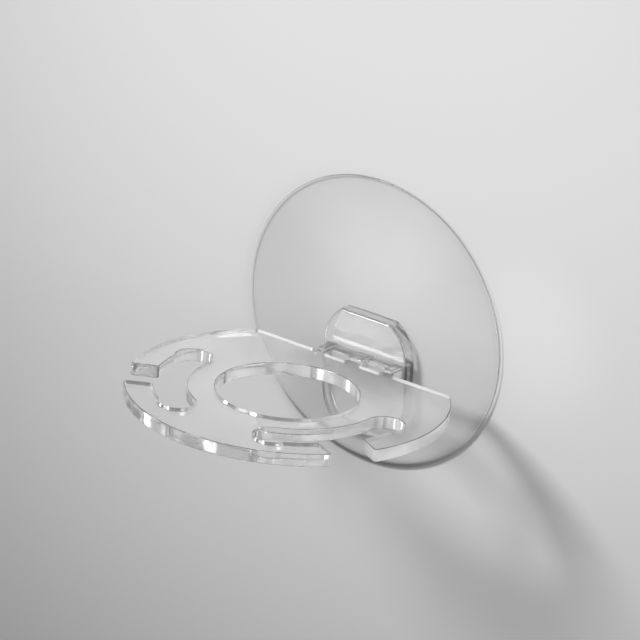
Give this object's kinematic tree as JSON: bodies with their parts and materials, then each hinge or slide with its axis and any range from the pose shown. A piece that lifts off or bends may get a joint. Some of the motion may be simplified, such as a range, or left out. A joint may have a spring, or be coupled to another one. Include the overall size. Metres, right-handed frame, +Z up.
{
  "type": "wall toothbrush holder",
  "caption": "Clear plastic wall rack for toothbrushes: a round plate with a centre hole and hooked brush slots plugs into a boss on a self-adhesive disc.",
  "frame": {"origin": "centre of the adhesive's wall face, which is also the centre of the disc", "axes": "+Z up along the wall, +Y into the wall, +X to the right when facing the wall; the rack stands out towards -Y"},
  "size_m": [0.0788, 0.0748, 0.075],
  "materials": {
    "adhesive": "clear tacky gel",
    "film": "clear smooth film",
    "boss": "clear polished",
    "plate": "clear polished"
  },
  "bodies": {
    "wall_mount": {"adhesive_pad": "adhesive", "film_disc": "film", "mount_boss": "boss"},
    "rack": {"rack_plate": "plate"}
  },
  "joints": [
    {"name": "rack_pull", "type": "slide", "parent": "wall_mount", "child": "rack", "axis": [0, -0.9978, 0.0663], "range_m": [0, 0.02]}
  ]
}
